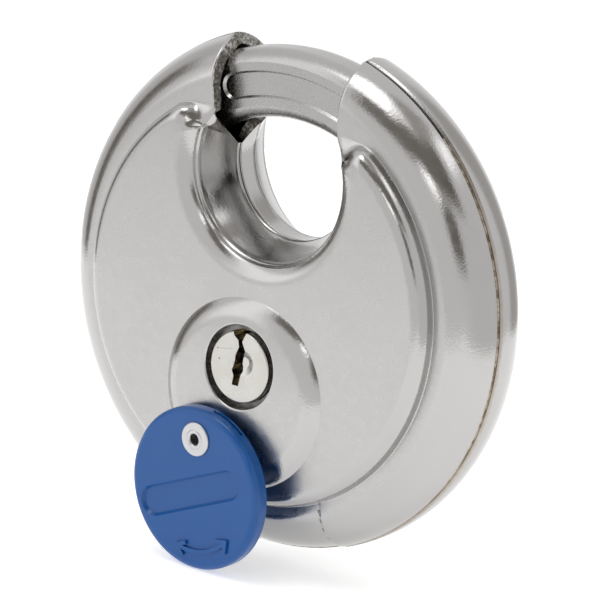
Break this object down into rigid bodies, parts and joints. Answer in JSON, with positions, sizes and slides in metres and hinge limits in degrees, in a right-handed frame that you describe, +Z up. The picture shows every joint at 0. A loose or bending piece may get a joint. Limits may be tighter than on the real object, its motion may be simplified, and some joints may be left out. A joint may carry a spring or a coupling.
{
  "type": "disc padlock",
  "caption": "Round pressed-steel padlock with a bar shackle that turns inside the rim, a pin-tumbler cylinder and a swinging plastic keyway cover.",
  "frame": {"origin": "centre of the flat rear face, on the disc's axis", "axes": "+Z up to the shackle's top, +Y out of the rear face, -Y the keyhole side, +X to the right as seen from the keyhole side"},
  "size_m": [0.07, 0.0245, 0.071],
  "materials": {
    "polished_stainless": "polished, with fine scratches",
    "weld": "heat-tinted weld",
    "shackle_steel": "satin, slightly grainy",
    "inner_steel": "plain stamped steel",
    "hardened_steel": "dark hardened steel",
    "core_brass": "machined",
    "plug_nickel": "nickel-plated brass, satin",
    "pin_brass": "turned",
    "spring_steel": "drawn wire",
    "blue_plastic": "glossy moulded plastic",
    "eyelet_metal": "satin rolled rivet"
  },
  "bodies": {
    "case": {"front_shell": "polished_stainless", "rear_shell": "polished_stainless", "weld_bead": "weld", "lock_core": "core_brass", "anti_drill_plate": "hardened_steel", "core_studs": "inner_steel", "core_nuts": "inner_steel", "chamber_strip": "core_brass", "cover_spacer": "blue_plastic", "cover_eyelet": "eyelet_metal", "pin_spring_1": "spring_steel", "pin_spring_2": "spring_steel", "pin_spring_3": "spring_steel", "pin_spring_4": "spring_steel", "pin_spring_5": "spring_steel"},
    "shackle": {"shackle": "shackle_steel", "carrier_plate": "inner_steel", "carrier_rivets": "inner_steel"},
    "plug": {"plug": "plug_nickel", "drive_cam": "hardened_steel", "crank_pin": "hardened_steel"},
    "cover": {"keyway_cover": "blue_plastic"},
    "key_pin_1": {"key_pin_1": "pin_brass"},
    "driver_pin_1": {"driver_pin_1": "pin_brass"},
    "key_pin_2": {"key_pin_2": "pin_brass"},
    "driver_pin_2": {"driver_pin_2": "pin_brass"},
    "key_pin_3": {"key_pin_3": "pin_brass"},
    "driver_pin_3": {"driver_pin_3": "pin_brass"},
    "key_pin_4": {"key_pin_4": "pin_brass"},
    "driver_pin_4": {"driver_pin_4": "pin_brass"},
    "key_pin_5": {"key_pin_5": "pin_brass"},
    "driver_pin_5": {"driver_pin_5": "pin_brass"}
  },
  "joints": [
    {"name": "shackle_swing", "type": "hinge", "parent": "case", "child": "shackle", "pos_m": [0, -0.0096, 0], "axis": [0, -1, 0], "range_deg": [-60, 0]},
    {"name": "plug_turn", "type": "hinge", "parent": "case", "child": "plug", "pos_m": [0, -0.0096, -0.009], "axis": [0, -1, 0], "range_deg": [-180, 0]},
    {"name": "cover_swing", "type": "hinge", "parent": "case", "child": "cover", "pos_m": [-0.00375, -0.0239, -0.01925], "axis": [-0.0505, -0.9975, -0.0488], "range_deg": [-202.7, 157.3]},
    {"name": "key_pin_lift_1", "type": "slide", "parent": "plug", "child": "key_pin_1", "axis": [0, 0, 1], "range_m": [0, 0.0012]},
    {"name": "key_pin_lift_2", "type": "slide", "parent": "plug", "child": "key_pin_2", "axis": [0, 0, 1], "range_m": [0, 0.0012]},
    {"name": "key_pin_lift_3", "type": "slide", "parent": "plug", "child": "key_pin_3", "axis": [0, 0, 1], "range_m": [0, 0.0012]},
    {"name": "key_pin_lift_4", "type": "slide", "parent": "plug", "child": "key_pin_4", "axis": [0, 0, 1], "range_m": [0, 0.0012]},
    {"name": "key_pin_lift_5", "type": "slide", "parent": "plug", "child": "key_pin_5", "axis": [0, 0, 1], "range_m": [0, 0.0012]},
    {"name": "driver_lift_1", "type": "slide", "parent": "case", "child": "driver_pin_1", "axis": [0, 0, 1], "range_m": [0, 0.0012], "deforming": ["pin_spring_1"]},
    {"name": "driver_lift_2", "type": "slide", "parent": "case", "child": "driver_pin_2", "axis": [0, 0, 1], "range_m": [0, 0.0012], "deforming": ["pin_spring_2"]},
    {"name": "driver_lift_3", "type": "slide", "parent": "case", "child": "driver_pin_3", "axis": [0, 0, 1], "range_m": [0, 0.0012], "deforming": ["pin_spring_3"]},
    {"name": "driver_lift_4", "type": "slide", "parent": "case", "child": "driver_pin_4", "axis": [0, 0, 1], "range_m": [0, 0.0012], "deforming": ["pin_spring_4"]},
    {"name": "driver_lift_5", "type": "slide", "parent": "case", "child": "driver_pin_5", "axis": [0, 0, 1], "range_m": [0, 0.0012], "deforming": ["pin_spring_5"]}
  ],
  "couplings": [
    {"joint": "plug_turn", "follows": "shackle_swing", "ratio": 3},
    {"joint": "driver_lift_1", "follows": "key_pin_lift_1", "ratio": 1},
    {"joint": "driver_lift_2", "follows": "key_pin_lift_2", "ratio": 1},
    {"joint": "driver_lift_3", "follows": "key_pin_lift_3", "ratio": 1},
    {"joint": "driver_lift_4", "follows": "key_pin_lift_4", "ratio": 1},
    {"joint": "driver_lift_5", "follows": "key_pin_lift_5", "ratio": 1}
  ]
}
